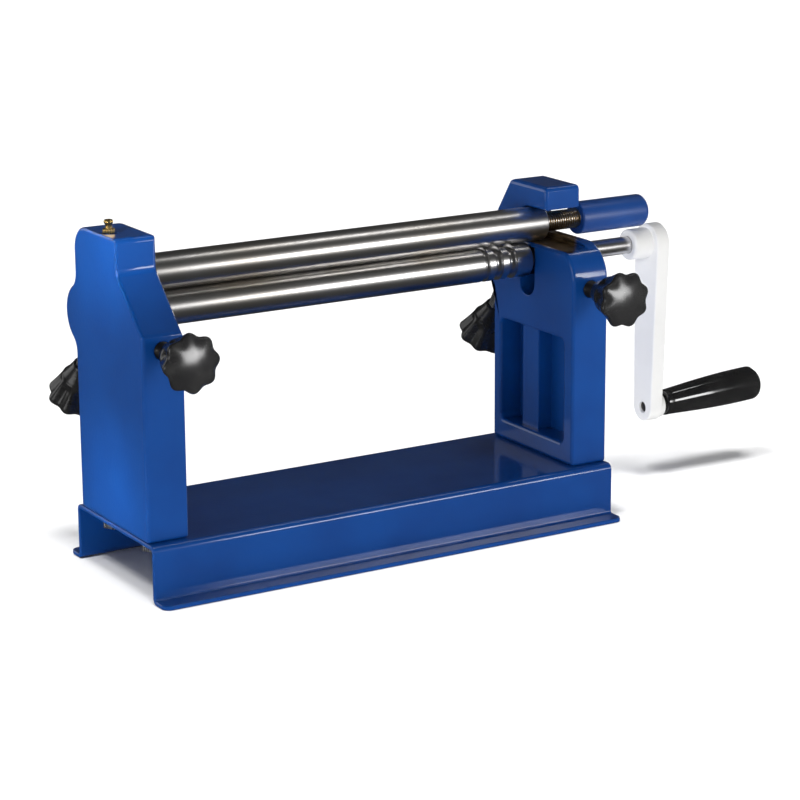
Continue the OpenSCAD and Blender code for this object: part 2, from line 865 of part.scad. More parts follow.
// Star knob with its neck's tip at the origin, its dome along Z and its lobes turned
module star_knob(turn) {
    knob_r = knob_d / 2;
    back_r = knob_back_d / 2;
    hollow_r = knob_hollow_d / 2;
    head_end = knob_neck_len + knob_head_t;
    head_len = knob_head_t + knob_dome;
    flare = (knob_r - back_r) / knob_head_t;
    dome_r = (knob_r * knob_r + knob_dome * knob_dome) / (2 * knob_dome);
    color("black")
        difference() {
            union() {
                cylinder(r1 = knob_tip_d / 2, r2 = knob_neck_d / 2, h = knob_neck_len + cut);
                difference() {
                    intersection() {
                        translate([0, 0, knob_neck_len])
                            cylinder(r1 = back_r, r2 = back_r + flare * head_len, h = head_len);
                        translate([0, 0, head_end + knob_dome - dome_r])
                            sphere(dome_r);
                    }
                    for (i = [0 : knob_lobes - 1])
                        rotate(turn + (i + 0.5) * 360 / knob_lobes)
                            translate([knob_r - knob_hollow, 0, head_end])
                                rotate([0, atan(flare), 0])
                                    translate([hollow_r, 0, -2 * head_len])
                                        cylinder(r = hollow_r, h = 4 * head_len);
                }
            }
            translate([0, 0, -cut])
                cylinder(r = screw_d / 2 + fixed_fit, h = screw_grip + 2 * cut);
        }
}

module front_knob(side, turn) {
    on_side(side)
        translate([x_mid, y_front - front_knob_gap, pin_z])
            rotate([90, 0, 0])
                star_knob(side * turn);
}

module front_screw(side) {
    color("dimgray")
        on_side(side)
            bar_y(screw_d / 2, y_front - front_knob_gap - screw_grip, pin_y - push_gap, x_mid, pin_z);
}

// Wedge pin whose 45 degree bevel lifts the block as the pin goes in
module wedge_pin(side) {
    tip_y = bevel_sum - pin_z + pin_d;
    color("gray")
        on_side(side)
            difference() {
                bar_y(pin_d / 2, pin_y, tip_y, x_mid, pin_z);
                translate([x_mid, bevel_sum - pin_z - push_gap * sqrt(2), pin_z])
                    rotate([45, 0, 0])
                        translate([-pin_d, 0, -2 * pin_d])
                            cube([2 * pin_d, 3 * pin_d, 4 * pin_d]);
            }
}

// Rear roll

module rear_block(side) {
    half = rear_block_w / 2;
    color("dimgray")
        on_side(side)
            difference() {
                up_incline(rear_rest)
                    translate([block_x, -half, -half])
                        cube([block_end_x - block_x, rear_block_w, rear_block_w]);
                bar_x(rear_bush_d / 2 + fixed_fit, block_x - cut, block_end_x + cut, rear_y, rear_z);
            }
}

module rear_bush(side) {
    color("peru")
        on_side(side)
            difference() {
                bar_x(rear_bush_d / 2, block_x, block_end_x, rear_y, rear_z);
                bar_x(rear_journal_r + run_fit, block_x - cut, block_end_x + cut, rear_y, rear_z);
            }
}

module rear_roll() {
    color("silver") {
        difference() {
            bar_x(roll_r, roll_left_x, roll_right_x, rear_y, rear_z);
            groove_cuts(rear_y, rear_z);
        }
        bar_x(rear_journal_r, -block_end_x, roll_left_x + cut, rear_y, rear_z);
        bar_x(rear_journal_r, roll_right_x - cut, block_end_x, rear_y, rear_z);
    }
}

module rear_knob(side) {
    on_side(side)
        up_incline(-rear_knob_from)
            translate([x_mid, 0, 0])
                rotate([180, 0, 0])
                    star_knob(0);
}

module rear_screw(side) {
    foot = -rear_knob_from - screw_grip;
    head = rear_rest - rear_block_w / 2 - push_gap;
    color("dimgray")
        on_side(side)
            up_incline(foot)
                translate([x_mid, 0, 0])
                    cylinder(r = screw_d / 2, h = head - foot);
}

base_channel();
left_frame();
right_frame();
frame_bolts();
frame_washers();
grease_nipple();
socket_ring();
ball_bush();
upper_roll();
release_handle();
lower_block(-1);  // lower_left_block
lower_block(1);  // lower_right_block
lower_bush(-1);  // lower_left_bush
lower_bush(1);  // lower_right_bush
lower_roll();
crank_arm();
crank_grub_screw();
grip_spindle();
crank_grip();
wedge_pin(-1);  // front_left_wedge_pin
wedge_pin(1);  // front_right_wedge_pin
front_screw(-1);  // front_left_screw
front_screw(1);  // front_right_screw
front_knob(-1, left_knob_turn);  // front_left_knob
front_knob(1, right_knob_turn);  // front_right_knob
rear_block(-1);  // rear_left_block
rear_block(1);  // rear_right_block
rear_bush(-1);  // rear_left_bush
rear_bush(1);  // rear_right_bush
rear_roll();
rear_screw(-1);  // rear_left_screw
rear_screw(1);  // rear_right_screw
rear_knob(-1);  // rear_left_knob
rear_knob(1);  // rear_right_knob
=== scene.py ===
# %% [markdown]
# # A small bench plate roll
# The machine curves sheet metal between polished rolls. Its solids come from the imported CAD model, which is
# the frame that every piece here rides on. This lesson dresses those solids: turned pieces are worked out
# as surfaces, castings get their rounded edges, and each surface gets a finish of its own.

# %% Load the frame
import math
import bmesh
import bpy
import numpy as np
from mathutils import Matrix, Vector
from mathutils.bvhtree import BVHTree


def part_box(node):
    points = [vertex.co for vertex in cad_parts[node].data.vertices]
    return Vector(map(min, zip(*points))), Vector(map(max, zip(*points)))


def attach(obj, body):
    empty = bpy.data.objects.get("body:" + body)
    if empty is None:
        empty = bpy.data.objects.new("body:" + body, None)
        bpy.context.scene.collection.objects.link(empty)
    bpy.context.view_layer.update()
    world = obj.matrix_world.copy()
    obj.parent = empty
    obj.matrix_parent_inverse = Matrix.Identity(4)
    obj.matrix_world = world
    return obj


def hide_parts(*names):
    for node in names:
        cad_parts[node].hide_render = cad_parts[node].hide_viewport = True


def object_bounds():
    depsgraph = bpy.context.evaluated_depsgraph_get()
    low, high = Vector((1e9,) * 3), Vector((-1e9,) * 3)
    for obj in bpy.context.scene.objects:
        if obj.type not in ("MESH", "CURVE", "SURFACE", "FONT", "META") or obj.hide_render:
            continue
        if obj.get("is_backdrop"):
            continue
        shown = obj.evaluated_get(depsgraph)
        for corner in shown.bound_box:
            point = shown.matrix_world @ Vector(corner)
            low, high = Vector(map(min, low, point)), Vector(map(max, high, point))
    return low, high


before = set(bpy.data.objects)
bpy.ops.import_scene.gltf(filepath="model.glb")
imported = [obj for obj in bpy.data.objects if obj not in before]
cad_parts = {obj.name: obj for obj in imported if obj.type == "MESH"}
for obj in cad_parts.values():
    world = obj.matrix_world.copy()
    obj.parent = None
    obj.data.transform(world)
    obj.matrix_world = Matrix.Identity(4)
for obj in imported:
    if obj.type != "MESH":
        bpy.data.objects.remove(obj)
cad_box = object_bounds()
MM = 0.001

# %% [markdown]
# ## Sums in a shader
# A finish is a small network of nodes. It could be wired by hand in the node editor, but a sum of ten nodes
# is hard to read there. Written as Python expressions the sums stay readable, so one class wraps a socket
# and each operator adds a Math node. Every other node comes from one method of the finish.

# %% A finish and its values


class Val:
    """One socket of a finish. Operators on it add Math nodes to the same finish."""

    def __init__(self, finish, socket):
        self.finish, self.socket = finish, socket

    def sum_with(self, operation, first, second):
        node = self.finish.node("ShaderNodeMath", {"operation": operation}, {0: first, 1: second})
        return Val(self.finish, node.outputs[0])

    def __add__(self, other):
        return self.sum_with("ADD", self, other)

    def __radd__(self, other):
        return self.sum_with("ADD", other, self)

    def __sub__(self, other):
        return self.sum_with("SUBTRACT", self, other)

    def __rsub__(self, other):
        return self.sum_with("SUBTRACT", other, self)

    def __mul__(self, other):
        return self.sum_with("MULTIPLY", self, other)

    def __rmul__(self, other):
        return self.sum_with("MULTIPLY", other, self)

    def ramp(self, low, high):
        """Goes smoothly from 0 at low to 1 at high."""
        sockets = {0: self, 1: low, 2: high, 3: 0.0, 4: 1.0}
        node = self.finish.node("ShaderNodeMapRange", {"interpolation_type": "SMOOTHSTEP"}, sockets)
        return Val(self.finish, node.outputs[0])


class Finish:
    """A material in the making, with one Principled shader."""

    def __init__(self, name):
        self.material = bpy.data.materials.new(name)
        self.material.use_nodes = True
        self.tree = self.material.node_tree
        self.tree.nodes.clear()
        self.shader = self.node("ShaderNodeBsdfPrincipled")
        self.node("ShaderNodeOutputMaterial", None, {"Surface": Val(self, self.shader.outputs[0])})

    def node(self, kind, settings=None, sockets=None):
        """Adds a node: first its settings, then a value or a link for each socket."""
        node = self.tree.nodes.new(kind)
        for key, value in (settings or {}).items():
            setattr(node, key, value)
        for key, value in (sockets or {}).items():
            self.plug(value, node.inputs[key])
        return node

    def plug(self, value, socket):
        if isinstance(value, Val):
            self.tree.links.new(value.socket, socket)
        else:
            socket.default_value = value

    def place(self):
        """The point on the object, in metres, as a vector and as three values."""
        point = Val(self, self.node("ShaderNodeTexCoord").outputs["Object"])
        parts = self.node("ShaderNodeSeparateXYZ", None, {0: point})
        return point, [Val(self, parts.outputs[i]) for i in range(3)]

    def noise(self, point, scale, detail=2.0, stretch=(1.0, 1.0, 1.0)):
        """Cloudy values from 0 to 1. Stretch multiplies the point first, so a large one makes fine
        lines."""
        moved = self.node("ShaderNodeVectorMath", {"operation": "MULTIPLY"}, {0: point, 1: stretch})
        sockets = {"Vector": Val(self, moved.outputs[0]), "Scale": scale, "Detail": detail}
        cloud = self.node("ShaderNodeTexNoise", None, sockets)
        return Val(self, cloud.outputs["Fac"])

    def blend(self, amount, first, second):
        """A colour that goes from first to second with amount."""
        node = self.node("ShaderNodeMix", {"data_type": "RGBA"}, {0: amount, 6: first, 7: second})
        return Val(self, node.outputs[2])

    def bump(self, height, strength, distance):
        sockets = {"Strength": strength, "Distance": distance, "Height": height}
        node = self.node("ShaderNodeBump", None, sockets)
        self.plug(Val(self, node.outputs[0]), self.shader.inputs["Normal"])

    def set(self, **sockets):
        """Sets the shader's sockets; a name's underscores stand for spaces."""
        for key, value in sockets.items():
            self.plug(value, self.shader.inputs[key.replace("_", " ")])
        return self.material


print("ready to mix finishes")

# %% [markdown]
# ## Blue enamel
# The castings and the bent base carry a thick glossy enamel. Up close it isn't flat: it has a slight
# orange-peel ripple, and its depth varies a little. One plain colour with one gloss would look like
# plastic. A clear coat over a satin colour gives both the soft body of the colour and the sharp highlights
# along the edges. The handle has the same paint under a duller coat.

# %% Blue enamel
BLUE = (0.004, 0.066, 0.305, 1.0)
BLUE_DEEP = (0.003, 0.05, 0.245, 1.0)


def enamel(name, dull=0.09, brown_patch=None):
    """Enamel whose colour wanders between two blues, under a clear coat that is more or less dull. The last
    argument is a function of the finish's x, y and z that gives a mask: where it is 1, the colour turns a
    cloudy dark brown, mostly metallic and under a thinner coat."""
    finish = Finish(name)
    point, (x, y, z) = finish.place()
    cloud = finish.noise(point, 14.0, 3.0)
    peel = finish.noise(point, 420.0, 1.0)
    colour = finish.blend(cloud.ramp(0.3, 0.75), BLUE, BLUE_DEEP)
    rough = 0.3 + 0.12 * cloud
    metal, coat = 0.0, 0.8
    if brown_patch is not None:
        mask = brown_patch(x, y, z)
        patch_cloud = finish.noise(point, 90.0, 4.0)
        patch_brown = finish.blend(patch_cloud.ramp(0.35, 0.7), (0.30, 0.21, 0.11, 1.0), (0.09, 0.055, 0.03, 1.0))
        colour = finish.blend(mask, colour, patch_brown)
        metal = mask * 0.85
        coat = 0.8 - 0.7 * mask
    finish.bump(peel, 0.06, 0.0006)
    return finish.set(
        Base_Color=colour, Roughness=rough, Metallic=metal, Coat_Weight=coat, Coat_Roughness=dull,
        Specular_IOR_Level=0.12,
    )


blue_enamel = enamel("blue_enamel")
handle_enamel = enamel("handle_enamel", 0.4)
print(blue_enamel.name, handle_enamel.name)

# %% [markdown]
# ## Polished steel
# The rolls are ground between centres, so their marks run round them: fine rings that change only along the
# roll. A picture of such rings would have to be fitted to every roll. A noise that is squeezed along X
# gives them on any piece that lies that way. Ground steel that is kept in a workshop also has a thin,
# slightly warm oil film in soft patches.

# %% Ground and plated steel


def ground_steel(name, light, warm, smooth, rings):
    """Metal with rings round X: noise squeezed along X for the rings, and soft clouds for the oil film."""
    finish = Finish(name)
    point, _ = finish.place()
    ring = finish.noise(point, 40.0, 2.0, (60.0, 0.6, 0.6))
    film = finish.noise(point, 9.0, 3.0)
    colour = finish.blend(film.ramp(0.35, 0.75), light, warm)
    finish.bump(ring, rings, 0.0002)
    return finish.set(Base_Color=colour, Metallic=1.0, Roughness=smooth + 0.07 * ring + 0.05 * film)


roll_steel = ground_steel("roll_steel", (0.66, 0.65, 0.64, 1.0), (0.56, 0.52, 0.46, 1.0), 0.24, 0.03)
plated_steel = ground_steel("plated_steel", (0.5, 0.5, 0.51, 1.0), (0.4, 0.38, 0.35, 1.0), 0.22, 0.05)
dark_steel = ground_steel("dark_steel", (0.16, 0.16, 0.165, 1.0), (0.1, 0.09, 0.08, 1.0), 0.3, 0.08)
oiled_stub = ground_steel("oiled_stub", (0.42, 0.33, 0.21, 1.0), (0.2, 0.14, 0.08, 1.0), 0.24, 0.05)
bronze = ground_steel("bronze", (0.48, 0.31, 0.15, 1.0), (0.3, 0.18, 0.08, 1.0), 0.25, 0.06)
brass = ground_steel("brass", (0.78, 0.55, 0.2, 1.0), (0.55, 0.36, 0.11, 1.0), 0.2, 0.05)
print("metals:", [m.name for m in (roll_steel, plated_steel, dark_steel, oiled_stub, bronze, brass)])

# %% [markdown]
# ## White enamel and black mouldings
# The crank is painted white, with faint grey clouds. The knobs are moulded in satin black plastic with a
# fine spark texture, and the turning grip is the same plastic polished. The two blacks could be separate
# materials, but one function with a roughness, a grain and a coat keeps them alike.

# %% White enamel and black plastic


def white_enamel_finish():
    finish = Finish("white_enamel")
    point, _ = finish.place()
    cloud = finish.noise(point, 30.0, 3.0)
    finish.bump(finish.noise(point, 300.0, 1.0), 0.05, 0.0005)
    colour = finish.blend(cloud.ramp(0.35, 0.75), (0.95, 0.945, 0.925, 1.0), (0.91, 0.905, 0.885, 1.0))
    return finish.set(Base_Color=colour, Roughness=0.28 + 0.1 * cloud, Coat_Weight=0.3, Coat_Roughness=0.1)


def moulded(name, rough, grain, coat):
    """Black plastic: grain is the depth of its spark texture."""
    finish = Finish(name)
    point, _ = finish.place()
    spark = finish.noise(point, 1800.0, 2.0)
    rub = finish.noise(point, 60.0, 3.0)
    finish.bump(spark, grain, 0.0003)
    colour = finish.blend(rub.ramp(0.3, 0.8), (0.011, 0.011, 0.0115, 1.0), (0.019, 0.0188, 0.0185, 1.0))
    return finish.set(Base_Color=colour, Roughness=rough + 0.1 * rub, Coat_Weight=coat, Coat_Roughness=0.05)


white_enamel = white_enamel_finish()
black_satin = moulded("black_satin", 0.2, 0.05, 0.0)
black_gloss = moulded("black_gloss", 0.08, 0.01, 0.7)
print(white_enamel.name, black_satin.name, black_gloss.name)

# %% [markdown]
# ## Turned surfaces
# Many pieces of this machine were made on a lathe. Blender could spin them from a profile, but then every
# ring would be a circle. Here a turned surface is a radius that depends on the place along an axis and on
# the angle, so the same function also gives threads, lobes and hexagons. The grid of points is one numpy
# expression.

# %% Turned surfaces


def turned_points(along, radius, origin, axis, across):
    """Point(i, j) = origin + along(i) * axis + radius(i, j) * (cos(angle j) * across + sin(angle j) *
    third), where third is square to both. Lengths are in millimetres and the result in metres."""
    axis, across = np.array(axis, float), np.array(across, float)
    third = np.cross(axis, across)
    n = radius.shape[1]
    angle = np.arange(n) * 2 * np.pi / n
    round_ways = np.cos(angle)[:, None] * across + np.sin(angle)[:, None] * third
    centres = np.array(origin, float) + along[:, None, None] * axis
    return (centres + radius[:, :, None] * round_ways[None, :, :]) * MM


def grid_faces(rows, columns):
    """Four-cornered faces of a grid whose columns close into rings."""
    i, j = np.meshgrid(np.arange(rows - 1), np.arange(columns), indexing="ij")
    k = (j + 1) % columns
    here, ahead = i * columns, (i + 1) * columns
    return np.stack([here + j, here + k, ahead + k, ahead + j], -1).reshape(-1, 4)


def mesh_of(name, points, faces):
    """A mesh from arrays of points and faces of equal length."""
    mesh = bpy.data.meshes.new(name)
    points, faces = np.asarray(points, np.float32).reshape(-1, 3), np.asarray(faces, np.int32)
    mesh.vertices.add(len(points))
    mesh.vertices.foreach_set("co", points.ravel())
    mesh.loops.add(faces.size)
    mesh.loops.foreach_set("vertex_index", faces.ravel())
    mesh.polygons.add(len(faces))
    mesh.polygons.foreach_set("loop_start", np.arange(0, faces.size, faces.shape[1], dtype=np.int32))
    mesh.update(calc_edges=True)
    return mesh


def close_up(mesh, sharp_deg):
    """Merges poles and seams, turns the faces outwards and smooths all but the sharp edges."""
    work = bmesh.new()
    work.from_mesh(mesh)
    bmesh.ops.remove_doubles(work, verts=work.verts, dist=1e-7)
    bmesh.ops.recalc_face_normals(work, faces=work.faces)
    work.to_mesh(mesh)
    work.free()
    mesh.polygons.foreach_set("use_smooth", np.ones(len(mesh.polygons), bool))
    mesh.set_sharp_from_angle(angle=math.radians(sharp_deg))


def add_piece(name, mesh, body, material, nodes=()):
    """Puts a mesh into the scene as a piece that rides on a body and stands for CAD nodes."""
    piece = bpy.data.objects.new(name, mesh)
    bpy.context.scene.collection.objects.link(piece)
    mesh.materials.clear()
    mesh.materials.append(material)
    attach(piece, body)
    if nodes:
        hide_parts(*nodes)
    return piece


def turned_piece(name, along, radius, origin, axis, across, body, material, nodes=(), sharp_deg=35):
    points = turned_points(along, radius, origin, axis, across)
    mesh = mesh_of(name, points, grid_faces(*points.shape[:2]))
    close_up(mesh, sharp_deg)
    return add_piece(name, mesh, body, material, nodes)


print("lathe ready")

# %% [markdown]
# ## Rounded profiles
# No real edge is perfectly sharp, and a small radius is what catches the light. A bevel on the finished
# piece could round it, but an arc in the profile is exact and needs no modifier. A profile is given as
# corner points with a radius for each, and every corner becomes an arc that touches both its lines.

# %% Rounded profiles


def rounded(corners, steps=5):
    """Corners are (along, radius, corner radius). An inner corner is replaced by an arc: its ends lie r *
    tan(half the turn) from the corner, and its points follow a circle about the centre on the corner's
    bisector."""
    corners = np.array(corners, float)
    path = [corners[0, :2]]
    for before, corner, after in zip(corners[:-2], corners[1:-1], corners[2:]):
        u, v = before[:2] - corner[:2], after[:2] - corner[:2]
        u, v = u / np.linalg.norm(u), v / np.linalg.norm(v)
        half = 0.5 * math.acos(float(np.clip(u @ v, -1, 1)))
        if corner[2] == 0 or half > 1.55:
            path.append(corner[:2])
            continue
        reach = corner[2] / math.tan(half)
        centre = corner[:2] + (u + v) / np.linalg.norm(u + v) * corner[2] / math.sin(half)
        start, end = corner[:2] + u * reach - centre, corner[:2] + v * reach - centre
        share = np.linspace(0, 1, steps + 1)[:, None]
        arc = start * (1 - share) + end * share
        path.extend(centre + arc / np.linalg.norm(arc, axis=1, keepdims=True) * corner[2])
    path.append(corners[-1, :2])
    return np.array(path)


def lathe(name, corners, centre, body, material, nodes=(), segments=112, steps=5):
    """A turned piece along X on the axis centre = (y, z), from a rounded profile in millimetres."""
    path = rounded(corners, steps)
    radius = np.repeat(path[:, 1:2], segments, axis=1)
    return turned_piece(
        name, path[:, 0], radius, (0, *centre), (1, 0, 0), (0, 1, 0), body, material, nodes
    )


def axis_of(node):
    """(y, z) of the axis of a turned CAD node that lies along X, in millimetres."""
    low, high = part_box(node)
    return ((low.y + high.y) / 2 / MM, (low.z + high.z) / 2 / MM)


def span_of(node):
    low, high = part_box(node)
    return low.x / MM, high.x / MM


print("upper roll's axis:", axis_of("upper_roll"), "lower roll's axis:", axis_of("lower_roll"))

# %% [markdown]
# ## The rolls
# The upper roll has a journal in its swivel ball, a plain ground body and a stub for the handle. Its
# profile needs only a few corners, so it is turned from a short list.

# %% Upper roll
UPPER = axis_of("upper_roll")
upper_start, upper_end = span_of("upper_roll")
ROLL_R, SHOULDER_R, JOURNAL_R, STUB_R = 12.5, 7.0, 6.0, 6.2
shoulder_start, body_start, body_end = -163.9, -150.5, 166.0
upper_roll = lathe(
    "upper_roll_ground",
    [
        (upper_start, 0, 0), (upper_start, JOURNAL_R, 0.8), (shoulder_start, JOURNAL_R, 0),
        (shoulder_start, SHOULDER_R, 0.3), (body_start, SHOULDER_R, 0), (body_start, ROLL_R, 0.9),
        (body_end, ROLL_R, 0.7), (body_end, STUB_R, 0), (upper_end, STUB_R, 0.5), (upper_end, 0, 0),
    ],
    UPPER, "upper_roll", roll_steel, ["upper_roll"],
)
print(upper_roll.name, len(upper_roll.data.polygons), "faces")

# %% [markdown]
# ## Wire grooves
# The lower and rear rolls have three round grooves near their right ends, so that wire can be bent too. A
# groove is a half circle in the profile. It could be cut out of a finished roll, but as an arc of points in
# the corner list it is turned together with the rest and has no seam.

# %% Lower and rear rolls
GROOVES = ((113.5, 2.0), (123.75, 3.25), (135.5, 3.5))
ROLL_LEFT, ROLL_RIGHT = -153.0, 152.5


def groove(middle, r, steps=10):
    """Half circle cut into the roll: along = middle - r * cos(t), radius = roll radius - r * sin(t)."""
    t = np.linspace(0, np.pi, steps + 1)
    return np.stack([middle - r * np.cos(t), ROLL_R - r * np.sin(t), 0 * t], 1).tolist()


def grooved_roll(name, node, journal, body):
    start, end = span_of(node)
    corners = [(start, 0, 0), (start, journal, 0.8), (ROLL_LEFT, journal, 0), (ROLL_LEFT, ROLL_R, 0.9)]
    for middle, r in GROOVES:
        corners += groove(middle, r)
    corners += [(ROLL_RIGHT, ROLL_R, 0.7), (ROLL_RIGHT, journal, 0), (end, journal, 0.7), (end, 0, 0)]
    return lathe(name, corners, axis_of(node), body, roll_steel, [node])


lower_roll = grooved_roll("lower_roll_ground", "lower_roll", 6.5, "drive")
rear_roll = grooved_roll("rear_roll_ground", "rear_roll", JOURNAL_R, "rear_roll")
print(lower_roll.name, rear_roll.name, "grooves:", len(GROOVES))

# %% [markdown]
# ## Threads
# A thread is a ridge that climbs one pitch in each turn. It could be swept along a helix, but its core
# would then be a second mesh. On the grid of a turned surface it is a wave whose phase is the place along
# the axis, in pitches, less the angle, in turns. The wave is a triangle with a flat crest and root, and it
# fades out at both ends.

# %% Threads


def thread(
    name, length, crest, pitch, origin, axis, across, body, material, nodes=(), segments=48,
    per_pitch=10,
):
    """Radius = root + depth * flattened triangle of (along / pitch - angle), with depth 0.55 of the pitch,
    and the ends fall to the root over one pitch. Two closing rings shut the ends."""
    depth = 0.55 * pitch
    along = np.linspace(0, length, int(length / pitch * per_pitch) + 1)
    turn = np.arange(segments) / segments
    wave = 1 - np.abs(2 * np.mod(along[:, None] / pitch - turn[None, :], 1) - 1)
    fade = np.clip(np.minimum(along, length - along) / pitch, 0, 1)[:, None]
    radius = crest - depth + depth * np.clip(1.5 * wave - 0.25, 0, 1) * fade
    along = np.concatenate([along[:1], along, along[-1:]])
    shut = np.zeros((1, segments))
    radius = np.concatenate([shut, radius, shut])
    return turned_piece(name, along, radius, origin, axis, across, body, material, nodes, 50)


STUB_LENGTH, STUB_CREST, STUB_PITCH, STUB_RELIEF = 32.0, 7.25, 2.0, 1.6
stub_thread = thread(
    "stub_thread", STUB_LENGTH, STUB_CREST, STUB_PITCH, (body_end + STUB_RELIEF, *UPPER), (1, 0, 0),
    (0, 1, 0), "upper_roll", oiled_stub,
)
print(stub_thread.name, len(stub_thread.data.polygons), "faces")

# %% [markdown]
# ## Adjusting screws
# Each front screw pushes a wedge pin straight in. The rear screws stand at 58 degrees below the horizontal
# and lift the rear roll's blocks. Both kinds are M12, and the knobs sit on their outer ends. The four could
# be copies of one mesh, but each has its own place and rides on its own knob's body, so one function makes
# them all.

# %% Adjusting screws
SCREW_X = 170.0
SIDES = (("left", -SCREW_X), ("right", SCREW_X))
FRONT_Z = 170.0
BOSS = (44.9, 177.0)
M12_R, M12_PITCH = 6.0, 1.75
FRONT_INNER_END, FRONT_LENGTH = -22.05, 61.4
REAR_INNER_END, REAR_LENGTH = -1.45, 72.9
SLOPE = math.radians(58.0)
OUT_FRONT = (0.0, -1.0, 0.0)
OUT_REAR = (0.0, math.cos(SLOPE), -math.sin(SLOPE))


def along_rear(distance, x):
    """The point at a distance out along a rear screw from its boss's centre."""
    return (x, BOSS[0] + distance * OUT_REAR[1], BOSS[1] + distance * OUT_REAR[2])


def m12_screw(place, length, start, out, material):
    """The M12 thread of the screw at a place of the machine, from its inner end outwards."""
    return thread(
        place + "_thread", length, M12_R, M12_PITCH, start, out, (1, 0, 0), place + "_knob",
        material, [place + "_screw"],
    )


screws = []
for side, x in SIDES:
    front_start, rear_start = (x, FRONT_INNER_END, FRONT_Z), along_rear(REAR_INNER_END, x)
    screws.append(m12_screw(f"front_{side}", FRONT_LENGTH, front_start, OUT_FRONT, dark_steel))
    screws.append(m12_screw(f"rear_{side}", REAR_LENGTH, rear_start, OUT_REAR, plated_steel))
print([s.name for s in screws])

# %% [markdown]
# ## Star knobs
# A star knob is a moulding: a plain neck, a head that flares like a bell with eight flutes along its whole
# length, a rounded rim and a high smooth dome. The flutes could be cut out of a turned blank, but the cuts
# would leave sharp edges. Here it is turned and fluted at once. A weight along the profile says how deep
# the flutes are in each ring, so they start softly at the neck and fade out on the dome.

# %% Star knobs
KNOB_HOLLOW, KNOB_LOBES = 2.4, 8
NECK_START, NECK_LENGTH, NECK_ROOT, NECK_FLARE = 0.7, 11.4, 8.0, 4.9
BELL_START, BELL_LENGTH, BELL_ROOT, BELL_FLARE = 12.6, 16.78, 13.5, 6.64
RIM_ALONG, RIM_INSET, RIM_R = 30.6, 17.4, 3.0
DOME_TOP, DOME_FALL, DOME_R, DOME_START = 38.0, 4.6, 18.5, 18.3
FOOT_R = 7.3
FRONT_SEAT, REAR_SEAT = -61.5, 49.5
FRONT_TURNS = {"left": 4, "right": 16}


def knob_profile():
    """Rings as (along, radius, flute weight). The head's radius grows with its length to the power 1.15,
    the rim is an arc of 3 mm, and the dome falls with the square of the radius."""
    t = np.linspace(0, 1, 10)
    neck = np.stack([NECK_START + NECK_LENGTH * t, NECK_ROOT + NECK_FLARE * t ** 1.2, 0 * t], 1)
    t = np.linspace(0, 1, 22)
    start = np.clip(t / 0.35, 0, 1)
    flute = start * start * (3 - 2 * start)
    bell = np.stack([BELL_START + BELL_LENGTH * t, BELL_ROOT + BELL_FLARE * t ** 1.15, flute], 1)
    bend = np.radians(np.linspace(-24, 64, 12))[1:]
    full = np.ones_like(bend)
    rim = np.stack([RIM_ALONG + RIM_R * np.sin(bend), RIM_INSET + RIM_R * np.cos(bend), full], 1)
    r = np.linspace(DOME_START, 0, 20)
    dome = np.stack([DOME_TOP - DOME_FALL * (r / DOME_R) ** 2, r, (r / DOME_R) ** 5], 1)
    foot = np.array([[0.0, 0.0, 0.0], [0.0, FOOT_R, 0.0]])
    return np.concatenate([foot, neck, bell, rim, dome])


def star_knob(place, origin, axis, turn_deg, segments=160):
    """The knob at a place of the machine. Radius = profile radius - hollow * flute weight * (1 - cos(lobes
    * angle)) / 2."""
    rings = knob_profile()
    angle = np.arange(segments) * 2 * np.pi / segments - math.radians(turn_deg)
    sink = KNOB_HOLLOW * (0.5 - 0.5 * np.cos(KNOB_LOBES * angle))
    radius = np.clip(rings[:, 1:2] - rings[:, 2:3] * sink[None, :], 0, None)
    knob = place + "_knob"
    return turned_piece(
        place + "_star", rings[:, 0], radius, origin, axis, (1, 0, 0), knob, black_satin,
        [knob], 60,
    )


knobs = [
    star_knob(f"front_{side}", (x, FRONT_SEAT, FRONT_Z), OUT_FRONT, FRONT_TURNS[side]) for side, x in SIDES
]
knobs += [star_knob(f"rear_{side}", along_rear(REAR_SEAT, x), OUT_REAR, 0) for side, x in SIDES]
print([k.name for k in knobs])

# %% [markdown]
# ## Handle and grip
# The release handle is a painted steel bar with a rounded end. The crank's grip is a polished moulding that
# swells towards its outer end, so the hand doesn't slide off. Both could be cylinders with a bevel, but a
# profile also gives the grip's ring and its swell. Its spindle leans up by a few degrees, so the grip is
# turned on an axis of its own.

# %% Handle and grip
handle_start, handle_end = span_of("release_handle")
HANDLE_R, RECESS_R, RECESS = 12.0, 7.3, 0.4
release_handle = lathe(
    "release_handle_bar",
    [
        (handle_start + RECESS, 0, 0), (handle_start + RECESS, RECESS_R, 0),
        (handle_start, RECESS_R + 0.3, 0.2), (handle_start, HANDLE_R, 1.4),
        (handle_end, HANDLE_R, 4.0), (handle_end, 0, 0),
    ],
    axis_of("release_handle"), "upper_roll", handle_enamel, ["release_handle"], steps=8,
)
ARM_X = (261.0, 272.0)
GRIP_TILT = math.radians(2.8)
GRIP_AXIS = (math.cos(GRIP_TILT), 0, math.sin(GRIP_TILT))
GRIP_PIVOT = (ARM_X[1], 8.0, 56.5)
GRIP_START, GRIP_END, GRIP_END_R = 7.75, 95.75, 12.9
RING_START, RING_END, RING_R = GRIP_START + 5.0, GRIP_START + 5.7, 9.6
SWELL_START, SWELL_LENGTH, SLIM_R, SWELL_R = GRIP_START + 6.0, 68.0, 9.88, 3.12
t = np.linspace(0, 1, 15)
swell = np.stack([SWELL_START + SWELL_LENGTH * t, SLIM_R + SWELL_R * np.sin(t * np.pi / 2), 0 * t], 1)
collar = [
    (GRIP_START, 0, 0), (GRIP_START, 9.0, 0.5), (GRIP_START + 0.9, 9.75, 0.5), (RING_START, 9.85, 0),
    (RING_START, RING_R, 0), (RING_END, RING_R, 0), (RING_END, 9.87, 0),
]
outer_end = [(GRIP_END, GRIP_END_R, 5.0), (GRIP_END, 0, 0)]
